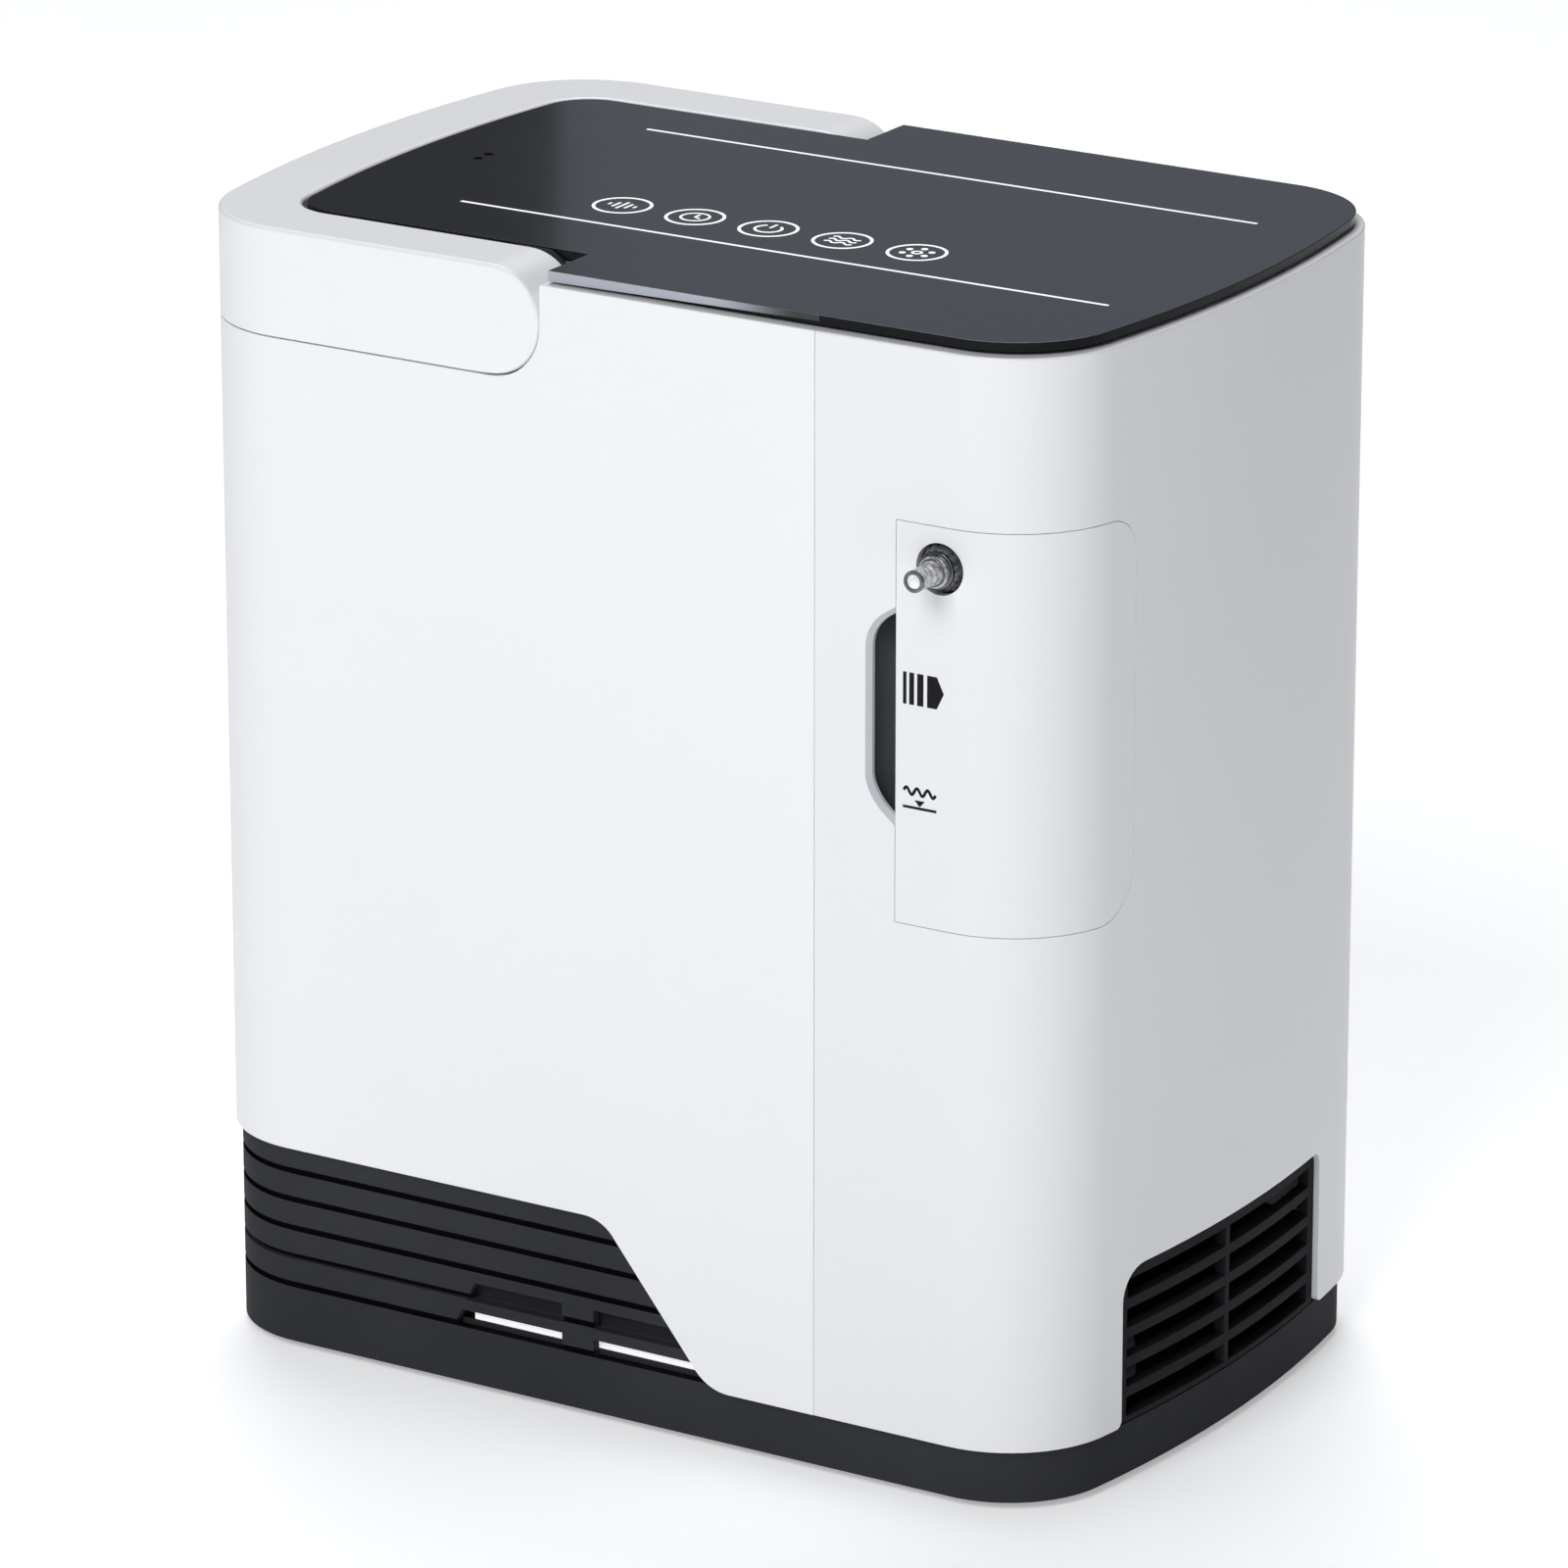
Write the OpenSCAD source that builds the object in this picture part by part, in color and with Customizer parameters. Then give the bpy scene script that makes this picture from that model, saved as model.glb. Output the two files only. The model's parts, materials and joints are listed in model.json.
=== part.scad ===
// Home oxygen concentrator, built as separate pieces.
// Origin: bottom centre of the whole object, on the floor. +Z is up, -Y is the large front face,
// +X is the end that holds the humidifier cup and the side grille.

/* [Cabinet] */
// Length of the cabinet, along X
body_l = 335; // [333:0.5:337]
// Width of the cabinet, along Y
body_w = 217.5; // [216:0.5:219]
// Radius of the four vertical corners
corner_r = 38; // [36:0.5:40]
// Radius of the gentle bulge of both narrow ends
end_r = 480; // [460:5:520]
// Height of the shells' top edge
shell_top = 372.5; // [372:0.5:373]
// Wall thickness of the white shells
shell_t = 3; // [2.8:0.1:3]
// Place of the seam between the two shells
seam_x = 75.4; // [75:0.1:76]
// Gap along the seam
seam_gap = 0.4; // [0.3:0.1:0.6]

/* [Base] */
// Height of the rubber feet
foot_h = 2.5; // [2:0.5:2.5]
// Lower edge of the shells
shell_z0 = 20; // [20:0.5:20.5]
// Height of the vented band of the base
vent_top = 70; // [69:0.5:70]
// Step from the shells' face in to the base's face
base_inset = 2; // [1.8:0.1:2]
// Spacing of the ribs of the base and the grille
rib_pitch = 9.85; // [9.8:0.05:9.9]

/* [Top] */
// Thickness of the touch glass
glass_t = 2.9; // [2.7:0.1:2.9]
// Height of the dark recess under the glass
reveal_h = 1.3; // [1.2:0.1:1.3]
// Half width of the glass between the handle's arms
tongue_w = 83; // [82.5:0.1:83]
// Distance from the middle to the glass's left end
tongue_l = 140; // [139:0.5:140]
// Corner radius of the glass's left end
tongue_r = 16; // [14:0.5:18]

/* [Handle] */
// Height of the handle's arms
arm_h = 34.8; // [34:0.1:34.8]
// Inner half width between the arms
arm_in = 84.5; // [84.3:0.1:84.6]
// Place of the handle's hinge axis
pivot_x = -42; // [-42.5:0.1:-42]
// Radius of the hinge pins
pin_r = 5; // [4:0.5:6]

/* [Humidifier] */
// Left edge of the cup's cover
cover_x = 104.6; // [104.4:0.1:105]
// Right edge of the cup's cover, on the narrow end
cover_y = -65; // [-65.5:0.1:-65]
// Lower edge of the cover
cover_z0 = 189.5; // [189:0.5:190]
// Upper edge of the cover
cover_z1 = 317.5; // [317:0.5:318]
// Radius of the outlet's tip
outlet_r = 3.5; // [3:0.1:4]
// How far the outlet stands out of the front face
outlet_out = 15.5; // [14:0.5:17]

/* [Rear] */
// How far the reset button stands out of the rear face
button_out = 5.5; // [4:0.5:7]

/* [Hidden] */
$fn = 96;
big = 400;
white = [0.93, 0.935, 0.95];
black = [0.12, 0.12, 0.135];
slate = [0.29, 0.31, 0.34];
steel = [0.7, 0.71, 0.73];
alu = [0.78, 0.79, 0.8];
rubber = [0.08, 0.08, 0.08];
board = [0.1, 0.35, 0.2];
clear = [0.8, 0.88, 0.92, 0.45];
glass_z0 = shell_top + reveal_h;
glass_z1 = glass_z0 + glass_t;
arm_z0 = glass_z1 - arm_h;
pivot_z = arm_z0 + arm_h / 2;
pocket_gap = 0.9;
pocket_r = arm_h / 2 + pocket_gap;
wide_x = -22.3;
motor_x = -50;
motor_z = 88;
cyl_x = [-106, 6];
floor_z = foot_h + 3;
part_z = 196;
fan_z = part_z + 2;
shelf_z = 276;
bed_x = 110;
bed_y = [3, 66];
nozzle_x = 119.6;
nozzle_z = 304.5;
port_r = 3.8;
mid_y = (outlet_out - button_out) / 2;
inlet_x = 104;
inlet_z = 48;
breaker_z = 80;
door_x = -15;
door_z = 232;
post_xy = [[-140, 72], [-140, -72], [62, 88], [62, -88]];

// ---------- helpers ----------

// Points along an arc, from angle a0 to a1
function arc(x, y, r, a0, a1, n = 8) =
  [for (i = [0:n]) let (a = a0 + (a1 - a0) * i / n) [x + r * cos(a), y + r * sin(a)]];

// Upright prism from z0 to z1. Its plan is a rectangle with round corners and gently
// bulged narrow ends: a block, a slice of a big cylinder at each end, and four corners
module bulged(hl, hw, r, big_r, z0, z1) {
  yc = hw - r;
  cx = hl - big_r;
  run = sqrt((big_r - r) * (big_r - r) - yc * yc);
  xc = cx + run;
  yt = big_r * yc / (big_r - r);
  far = 2 * r / (big_r - r);
  block([-xc, -hw, z0], [xc, hw, z1]);
  for (sx = [-1, 1]) {
    intersection() {
      rod_z(z0, z1, sx * cx, 0, big_r, 1440);
      block([sx < 0 ? -hl - 1 : 0, -yt, z0], [sx < 0 ? 0 : hl + 1, yt, z1]);
    }
    for (sy = [-1, 1]) intersection() {
      rod_z(z0, z1, sx * xc, sy * yc, r, 360);
      translate([sx * xc, sy * yc, z0]) linear_extrude(z1 - z0)
        polygon([[0, 0], [0, sy * 2 * r], [sx * far * run, sy * far * yc]]);
    }
  }
}

// The cabinet's outline, moved inwards by d
module plan(d, z0, z1) {
  bulged(body_l / 2 - d, body_w / 2 - d, corner_r - d, end_r - d, z0, z1);
}

// The outline of the narrow part between the handle's arms, moved outwards by d
module tongue(d, z0, z1) {
  bulged(tongue_l + d, tongue_w + d, tongue_r + d, end_r, z0, z1);
}

// A straight-sided block given by two opposite corners
module block(a, b) {
  translate(a) cube(b - a);
}

// A ring of wall, from inset d0 to d1 and height z0 to z1
module band(d0, d1, z0, z1) {
  difference() {
    plan(d0, z0, z1);
    plan(d1, z0 - 1, z1 + 1);
  }
}

// A 2D outline drawn in X and Z, carried along Y
module along_y(y0, y1) {
  translate([0, y1, 0]) rotate([90, 0, 0]) linear_extrude(y1 - y0) children();
}

// A 2D outline drawn in Y and Z, carried along X
module along_x(x0, x1) {
  translate([x0, 0, 0]) rotate([90, 0, 90]) linear_extrude(x1 - x0) children();
}

// A cylinder along X, and one along Y
module rod_x(x0, x1, y, z, r) {
  translate([x0, y, z]) rotate([0, 90, 0]) cylinder(r = r, h = x1 - x0);
}
module rod_y(y0, y1, x, z, r) {
  translate([x, y1, z]) rotate([90, 0, 0]) cylinder(r = r, h = y1 - y0);
}
module rod_z(z0, z1, x, y, r, fn = 96) {
  translate([x, y, z0]) cylinder(r = r, h = z1 - z0, $fn = fn);
}

// A hose through a list of points
module hose(pts, r) {
  for (i = [0:len(pts) - 2]) {
    d = pts[i + 1] - pts[i];
    l = norm(d);
    translate(pts[i])
      rotate([0, acos(d[2] / l), atan2(d[1], d[0])])
        cylinder(r = r, h = l, $fn = 24);
    if (i > 0) translate(pts[i]) sphere(r * 1.06, $fn = 24);
  }
}

// ---------- cabinet ----------

// The open region low on the left, in X and Z, grown by g
module vent_profile(g = 0) {
  top_x = -4;
  foot_x = 26;
  polygon(concat(
    [[-big, 0], [-big, vent_top + g], [top_x - 6, vent_top + g]],
    arc(top_x - 6, vent_top - 14 + g, 14, 90, 33),
    arc(foot_x + 18, shell_z0 + 16 + g, 16, 213, 270),
    [[foot_x + 18, 0]]
  ));
}

// The open region in the right end, in Y and Z, grown by g
module grille_profile(g = 0) {
  polygon(concat(
    [[-67 - g, 0], [-67 - g, 60]],
    arc(-56, 61.5, 11 + g, 180, 90),
    arc(54, 68, 4.5 + g, 90, 0),
    [[58.5 + g, 0]]
  ));
}

// Side profile of the handle's arms: a bar of height h with a round end, carried along Y.
// With open_x set, it is open upwards as far as that plane
module arm_profile(r, top, open_x = undef) {
  rod_y(-big, big, pivot_x, pivot_z, r);
  block([-big, -big, pivot_z - r], [pivot_x, big, top]);
  if (open_x != undef) block([pivot_x - 5, -big, pivot_z], [open_x, big, top]);
}

// Space that the shell gives up to the handle, with walls of thickness g added
module pocket(g = 0) {
  difference() {
    intersection() {
      plan(-0.1, 300, big);
      arm_profile(pocket_r + g, big, pivot_x + pocket_r + g);
    }
    tongue(-1.8 - g, 200, big + 1);
    block([-60, -tongue_w + 1.8 + g, 200], [big, tongue_w - 1.8 - g, big + 1]);
  }
}

// The walls of both shells before they are divided
module cabinet_walls() {
  difference() {
    union() {
      band(0, shell_t, shell_z0, shell_top);
      band(0, 16, shell_top - shell_t, shell_top);
      intersection() {
        plan(0.5, 300, shell_top);
        pocket(2.5);
      }
    }
    pocket(0);
    tongue(-14, shell_top - 40, big);
    along_y(-big, big) vent_profile();
  }
}

module shell_left() color(white) difference() {
  cabinet_walls();
  block([seam_x - seam_gap / 2, -big, -1], [big, big, big]);
  block([door_x - 46.3, 90, door_z - 31.3], [door_x + 46.3, big, door_z + 31.3]);
}

// The cup cover's region, grown by g
module cover_region(g = 0) {
  intersection() {
    block([cover_x - g, -big, 0], [big, 0, big]);
    along_x(0, big) polygon(concat(
      [[-big, cover_z0 - g]],
      arc(cover_y - 16, cover_z0 + 16, 16 + g, 270, 360),
      arc(cover_y - 12, cover_z1 - 12, 12 + g, 0, 90),
      [[-big, cover_z1 + g]]
    ));
  }
}

// The finger recess beside the cover, in X and Z
module finger_profile() {
  polygon([
    [cover_x + 0.5, 221.4], [98.5, 227], [95.2, 233], [95.2, 279],
    [98.5, 284.5], [cover_x + 0.5, 288.8]
  ]);
}

module shell_right() color(white) difference() {
  cabinet_walls();
  block([-big, -big, -1], [seam_x + seam_gap / 2, big, big]);
  cover_region(0.4);
  along_y(-big, -90) finger_profile();
  along_x(120, big) grille_profile();
  block([inlet_x - 13.2, 90, inlet_z - 9.2], [inlet_x + 13.2, big, inlet_z + 9.2]);
  rod_y(90, big, inlet_x, breaker_z, 7.2);
}

module base_tray() color(black) difference() {
  union() {
    plan(base_inset, foot_h, floor_z);
    band(base_inset, 5.4, foot_h, shell_z0 - 0.4);
    band(3.5, 5.4, foot_h, 30);
    intersection() {
      band(base_inset, 5.4, foot_h, vent_top - 0.4);
      along_y(-big, big) vent_profile(-0.4);
    }
    intersection() {
      band(3.5, 5.4, foot_h, vent_top + 6);
      block([-big, -big, 0], [-16, big, big]);
    }
    for (p = post_xy) rod_z(foot_h, 18, p[0], p[1], 6);
  }
  // grooves between the ribs
  for (i = [0:4]) difference() {
    band(0, 3.4, 21.4 + i * rib_pitch, 23.2 + i * rib_pitch);
    block([45, -big, 0], [big, big, big]);
  }
  // two rows of vent slots on each long side
  for (y = [[-big, -90], [90, big]]) along_y(y[0], y[1]) {
    polygon([[-61, 21.4], [-19.8, 21.4], [-19.8, 27.2], [-58, 27.2]]);
    polygon([[-56, 30.9], [-19.8, 30.9], [-19.8, 37.2], [-53, 37.2]]);
    translate([-7.9, 21.4]) square([48, 5.8]);
    translate([-7.9, 30.9]) square([38, 6.3]);
  }
  // opening behind the side grille
  block([150, -71.3, shell_z0 - 0.4], [big, 62.8, 40]);
  // floor vents
  for (i = [-5:5]) block([motor_x + i * 12 - 3, -45, 0], [motor_x + i * 12 + 3, 45, 10]);
  for (p = post_xy) {
    rod_z(0, 8, p[0], p[1], 4);
    rod_z(0, 30, p[0], p[1], 2.05);
  }
}

module side_grille() color(black) {
  intersection() {
    band(3.4, 6, shell_z0 - 0.4, 78);
    along_x(120, big) difference() {
      grille_profile(4);
      for (i = [0:4]) for (y = [[-62, -6.3], [-3.7, 53.5]])
        translate([y[0], 22 + i * rib_pitch]) square([y[1] - y[0], 6.3]);
    }
    block([0, -big, shell_z0 - 0.4], [big, big, big]);
  }
  intersection() {
    band(base_inset, 6, shell_z0, 78);
    along_x(120, big) difference() {
      grille_profile(-0.4);
      for (i = [0:4]) for (y = [[-62, -6.3], [-3.7, 53.5]])
        translate([y[0], 22 + i * rib_pitch]) square([y[1] - y[0], 6.3]);
    }
    block([0, -big, shell_z0 - 0.4], [big, big, big]);
  }
}

module exhaust_deflector() color(white) for (s = [-1, 1])
  along_x(-55.7, 34) polygon([
    [s * 102.5, 21.5], [s * 102.5, 28.4], [s * 100.9, 28.4], [s * 100.9, 23.1],
    [s * 95.3, 23.1], [s * 95.3, floor_z], [s * 96.9, floor_z], [s * 96.9, 21.5]
  ]);

module rubber_feet() color(rubber)
  for (x = [-120, 120]) for (y = [-75, 75]) rod_z(0, foot_h, x, y, 12);

module base_screws() color(steel) for (p = post_xy) {
  rod_z(5.2, 8, p[0], p[1], 3.5);
  rod_z(7, 30, p[0], p[1], 2);
}

// ---------- top ----------

// The glass's outline moved inwards by d: wide over the cabinet, narrow between the arms
module glass_plan(d, z0, z1) {
  intersection() {
    tongue(-d, z0, z1);
    block([-big, -big, z0], [0, big, z1]);
  }
  intersection() {
    plan(2.9 + d, z0, z1);
    block([wide_x + d, -big, z0], [big, big, z1]);
  }
}

module panel_spacer() color(black) difference() {
  glass_plan(2.5, shell_top, glass_z0);
  block([-112, -62, shell_top - 1], [128, 62, glass_z0 + 1]);
}

module top_glass() color(slate) difference() {
  glass_plan(0, glass_z0, glass_z1);
  for (y = [-3, 3]) rod_z(glass_z1 - 1, glass_z1 + 1, -116, y, 1.2);
}

module touch_board() color(board) {
  block([-110, -60, glass_z0 - 1.6], [120, 60, glass_z0]);
  for (i = [0:4]) rod_z(glass_z0 - 3.5, glass_z0 - 1.5, -44.8 + 27 * i, -28.3, 8);
}

module buzzer() color(black) {
  rod_z(354, glass_z0 - 1.6, -96, 0, 11);
  rod_z(350, 354, -96, 0, 4);
}

// ---------- handle ----------

module handle() color(white) difference() {
  intersection() {
    plan(0, arm_z0, glass_z1);
    arm_profile(arm_h / 2, glass_z1);
  }
  bulged(tongue_l + 1.5, arm_in, tongue_r + 1.5, end_r, 0, big);
  block([-60, -arm_in, 0], [big, arm_in, big]);
  for (s = [-1, 1]) rod_y(min(s * 80, s * 98.5), max(s * 80, s * 98.5), pivot_x, pivot_z, pin_r + 0.06);
}

module handle_pivots() color(black) for (s = [-1, 1]) {
  rod_y(min(s * 81.3, s * 83.3), max(s * 81.3, s * 83.3), pivot_x, pivot_z, 13);
  intersection() {
    rod_y(min(s * 83.2, s * 84.2), max(s * 83.2, s * 84.2), pivot_x, pivot_z, pocket_r - 0.3);
    block([-big, -big, 0], [big, big, glass_z1 - 0.4]);
  }
  rod_y(min(s * 81.3, s * 98), max(s * 81.3, s * 98), pivot_x, pivot_z, pin_r);
}

// ---------- humidifier ----------

module cup_cover() color(white) difference() {
  intersection() {
    band(0, shell_t, cover_z0, cover_z1);
    cover_region();
  }
  rod_y(-big, -90, nozzle_x, nozzle_z, 8.2);
}

// Region of the cup behind the cover
module cup_space(d, x0, y1, z0, z1) {
  intersection() {
    plan(d, z0, z1);
    block([x0, -big, z0], [big, y1, z1]);
  }
}

module cup_bottle() color(clear) difference() {
  cup_space(3.1, 117, -70, 194.5, 290);
  cup_space(5.1, 119, -72, 196.5, big);
}

module cup_lid() color(clear) difference() {
  cup_space(3.1, 109, -67.5, 291.4, 313);
  cup_space(5.6, 111.5, -70, 293.9, 311);
  cup_space(5.6, 119.5, -73, 291, 294);
  rod_y(-big, -90, nozzle_x, nozzle_z, 5);
  rod_y(-75, -60, nozzle_x, nozzle_z, port_r);
}

module cup_seal() color(rubber) {
  difference() {
    cup_space(3.6, 117.5, -70.5, 290, 291.4);
    cup_space(5.1, 119, -72, 280, 300);
  }
  difference() {
    rod_y(-67.5, -67.1, nozzle_x, nozzle_z, 5.4);
    rod_y(-70, -60, nozzle_x, nozzle_z, port_r);
  }
}

module outlet_nozzle() color(clear) difference() {
  union() {
    rod_y(-105.65, -100, nozzle_x, nozzle_z, 5);
    rod_y(-108, -105.65, nozzle_x, nozzle_z, 7.6);
    rod_y(-112.5, -108, nozzle_x, nozzle_z, 5.8);
    rod_y(-body_w / 2 - outlet_out, -112.5, nozzle_x, nozzle_z, outlet_r);
  }
  rod_y(-130, -90, nozzle_x, nozzle_z, 2.2);
}

module bay_liner() color([0.25, 0.26, 0.27]) {
  difference() {
    cup_space(3.2, 90, -61, 186.5, 320.5);
    cup_space(3, 92, -63, 188.5, 318.5);
    rod_y(-70, -50, nozzle_x, nozzle_z, 3);
  }
  // dock spigot that meets the lid's port
  difference() {
    rod_y(-66.8, -62, nozzle_x, nozzle_z, 5.4);
    rod_y(-70, -50, nozzle_x, nozzle_z, port_r);
  }
}

// ---------- rear side ----------

module filter_door() color(white) {
  difference() {
    block([door_x - 46, 97.7, door_z - 31], [door_x + 46, body_w / 2, door_z + 31]);
    block([door_x - 43.5, 90, door_z - 28.5], [door_x + 43.5, body_w / 2 - 2.5, door_z + 28.5]);
    for (i = [-3:3]) block([door_x - 32, 100, door_z + i * 7 - 1.5], [door_x + 32, 120, door_z + i * 7 + 1.5]);
  }
}

module foam_filter() color([0.2, 0.2, 0.21])
  block([door_x - 43, 97.9, door_z - 28], [door_x + 43, body_w / 2 - 2.6, door_z + 28]);

module intake_cartridge() color(white) {
  difference() {
    block([door_x - 40, 72, 206], [door_x + 40, 97, 258]);
    block([door_x - 37, 75, 209], [door_x + 37, 98, 255]);
  }
  for (i = [-6:6]) block([door_x + i * 5.5 - 1, 75, 209], [door_x + i * 5.5 + 1, 94, 255]);
  rod_z(fan_z, 206, door_x, 84, 8);
}

module power_inlet() color(black) difference() {
  union() {
    block([inlet_x - 15.5, body_w / 2, inlet_z - 12.5], [inlet_x + 15.5, body_w / 2 + 2.4, inlet_z + 12.5]);
    block([inlet_x - 13, 84, inlet_z - 9], [inlet_x + 13, body_w / 2 + 1, inlet_z + 9]);
  }
  block([inlet_x - 11.8, 93, inlet_z - 7.8], [inlet_x + 11.8, big, inlet_z + 7.8]);
  for (p = [[-7, -2], [7, -2], [0, 2]])
    block([inlet_x + p[0] - 1, 80, inlet_z + p[1] - 2], [inlet_x + p[0] + 1, 94, inlet_z + p[1] + 2]);
}

module inlet_pins() color(steel) for (p = [[-7, -2], [7, -2], [0, 2]])
  block([inlet_x + p[0] - 1, 76, inlet_z + p[1] - 2], [inlet_x + p[0] + 1, 109, inlet_z + p[1] + 2]);

module breaker_body() color(black) difference() {
  union() {
    rod_y(80, 106, inlet_x, breaker_z, 7);
    rod_y(75, 81, inlet_x, breaker_z, 9);
    rod_y(106, body_w / 2, inlet_x, breaker_z, 7);
    rod_y(body_w / 2, body_w / 2 + 1.6, inlet_x, breaker_z, 9);
  }
  rod_y(92, big, inlet_x, breaker_z, 4.1);
}

module reset_button() color([0.75, 0.1, 0.1]) rod_y(96, body_w / 2 + button_out, inlet_x, breaker_z, 4);

// ---------- compressor ----------

module compressor_plate() color(steel) difference() {
  block([-132, -70, 22], [32, 70, 24]);
  for (x = [-118, 18]) for (y = [-58, 58]) rod_z(0, 40, x, y, 3.1);
}

module compressor_mounts() color(rubber) for (x = [-118, 18]) for (y = [-58, 58]) {
  rod_z(floor_z, 22, x, y, 9);
  rod_z(21, 28, x, y, 3);
}

module motor_housing() color(steel) difference() {
  union() {
    rod_x(-86, -14, 0, motor_z, 46);
    block([-76, -34, 24], [-24, 34, motor_z - 20]);
  }
  rod_x(-90, -10, 0, motor_z, 41);
}

module motor_stator() color([0.6, 0.35, 0.2]) difference() {
  rod_x(-74, -26, 0, motor_z, 40.9);
  rod_x(-80, -20, 0, motor_z, 22);
}

module motor_rotor() color(steel) difference() {
  rod_x(-72, -28, 0, motor_z, 21.4);
  rod_x(-80, -20, 0, motor_z, 6);
}

module drive_shaft() color(steel) rod_x(-146, 46, 0, motor_z, 6);

module counterweights() color(steel) for (s = [0, 1]) {
  x = cyl_x[s] - (s == 0 ? 13 : 3);
  plate_x = s == 0 ? x : x + 12;
  difference() {
    union() {
      rod_x(x, x + 16, 0, motor_z + 3, 10);
      block([plate_x, -16, motor_z - 20], [plate_x + 4, 16, motor_z - 5]);
    }
    rod_x(x - 1, x + 17, 0, motor_z, 6);
  }
}

module shaft_fans() color(black) for (x = [-144, 38]) difference() {
  union() {
    rod_x(x, x + 6, 0, motor_z, 12);
    for (i = [0:7]) translate([x + 3, 0, motor_z]) rotate([i * 45, 0, 0])
      rotate([0, 0, 25]) translate([-1, -7, 9]) cube([2, 14, 30]);
  }
  rod_x(x - 5, x + 12, 0, motor_z, 6);
}

module shaft_bearings() color(alu) for (x = [-93, -13]) difference() {
  rod_x(x, x + 6, 0, motor_z, 13);
  rod_x(x - 1, x + 7, 0, motor_z, 6.05);
}

// One crankcase, its inner wall towards the motor
module crankcase(x0, x1, wall_x) {
  difference() {
    block([x0, -36, 40], [x1, 36, 126]);
    block([x0 + 4, -32, 44], [x1 - 4, 32, 122]);
    rod_x(x0 - 1, x0 + 6, 0, motor_z, wall_x == x0 ? 13 : 22);
    rod_x(x1 - 6, x1 + 1, 0, motor_z, wall_x == x1 ? 13 : 22);
    rod_z(120, 130, (x0 + x1) / 2, 0, 18);
  }
  block([x0, -36, 24], [x1, 36, 40]);
}
module crankcases() color(alu) {
  crankcase(-126, -86, -86);
  crankcase(-14, 26, -14);
}

module pistons() color(alu) for (i = [0, 1]) {
  x = cyl_x[i];
  rod_z(130, 142, x, 0, 15.6);
  difference() {
    union() {
      block([x - 2.2, -5, motor_z + 14], [x + 2.2, 5, 131]);
      rod_x(x - 2.2, x + 2.2, 0, motor_z, 21);
    }
    rod_x(x - 5, x + 5, 0, motor_z, 17.5);
  }
}

module cylinders() color(steel) for (x = cyl_x) difference() {
  rod_z(126, 150, x, 0, 19);
  rod_z(120, 160, x, 0, 16);
}

module cylinder_heads() color(alu) for (x = cyl_x) difference() {
  union() {
    block([x - 20, -30, 150], [x + 20, 30, 158]);
    for (i = [-4:4]) block([x - 20, i * 7 - 1.2, 157], [x + 20, i * 7 + 1.2, 176]);
    rod_z(157, 182, x, 24, 7);
  }
  rod_z(165, 190, x, 24, 4);
}

// ---------- cooling ----------

module partition() color([0.85, 0.85, 0.86]) difference() {
  union() {
    intersection() {
      plan(6.5, part_z, fan_z);
      block([-big, -big, 0], [70, big, big]);
    }
    for (p = post_xy) rod_z(18, part_z, p[0], p[1], 6);
  }
  for (p = post_xy) rod_z(10, 32, p[0], p[1], 2.05);
  rod_z(180, 220, motor_x, 0, 56);
  rod_z(180, 220, door_x, 84, 6);
  rod_z(180, 220, 50, 58, 5);
}

module fan_frame() color(black) {
  difference() {
    block([motor_x - 60, -60, fan_z], [motor_x + 60, 60, fan_z + 25]);
    rod_z(fan_z - 1, fan_z + 26, motor_x, 0, 56.5);
    for (x = [-52.5, 52.5]) for (y = [-52.5, 52.5]) rod_z(fan_z - 1, fan_z + 26, motor_x + x, y, 2.2);
  }
  // motor spider
  difference() {
    union() {
      rod_z(fan_z, fan_z + 4, motor_x, 0, 21);
      for (a = [45:90:315]) translate([motor_x, 0, fan_z]) rotate([0, 0, a])
        translate([15, -3, 0]) cube([44, 6, 3]);
    }
    rod_z(fan_z - 1, fan_z + 6, motor_x, 0, 3.05);
  }
}

module fan_rotor() color([0.15, 0.15, 0.16]) {
  difference() {
    rod_z(fan_z + 4.6, fan_z + 24, motor_x, 0, 22);
    rod_z(fan_z + 3, fan_z + 21, motor_x, 0, 20);
  }
  rod_z(fan_z + 0.5, fan_z + 21.5, motor_x, 0, 3);
  for (a = [0:360 / 7:359]) translate([motor_x, 0, fan_z + 14]) rotate([0, 0, a])
    rotate([35, 0, 0]) translate([20, -13, -1]) cube([33, 22, 2]);
}

module cooling_coil() color([0.72, 0.45, 0.3]) {
  for (i = [0:3]) translate([motor_x, 0, 234 + 10 * i]) rotate_extrude() translate([46, 0]) circle(4);
  for (x = [-46, 46]) rod_z(fan_z + 25, 266, motor_x + x, 0, 3);
  for (z = [244, 264]) rod_x(motor_x + 46, 2, 0, z, 3);
}

// ---------- gas path ----------

module bed_bracket() color(steel) {
  block([76, -34, 96], [142, 98, 98]);
  for (y = [-34, 40]) block([76, y, floor_z], [78, y + 24, 96.5]);
}

module sieve_beds() color(alu) for (y = bed_y) rod_z(104, 292, bed_x, y, 28);

module bed_caps() color(black) for (y = bed_y) {
  difference() {
    rod_z(98, 114, bed_x, y, 31);
    rod_z(104, 120, bed_x, y, 28);
  }
  difference() {
    rod_z(282, 298, bed_x, y, 31);
    rod_z(280, 292, bed_x, y, 28);
  }
}

module valve_manifold() color(alu) difference() {
  block([bed_x - 18, -10, 298], [bed_x + 18, 79, 320]);
  rod_y(-20, 70, bed_x, 309, 4);
}

module solenoids() color(black) for (i = [0:3]) {
  rod_z(320, 348, bed_x, 1 + 22 * i, 9);
  block([bed_x - 6, 1 + 22 * i - 6, 348], [bed_x + 6, 1 + 22 * i + 6, 352]);
}

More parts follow.
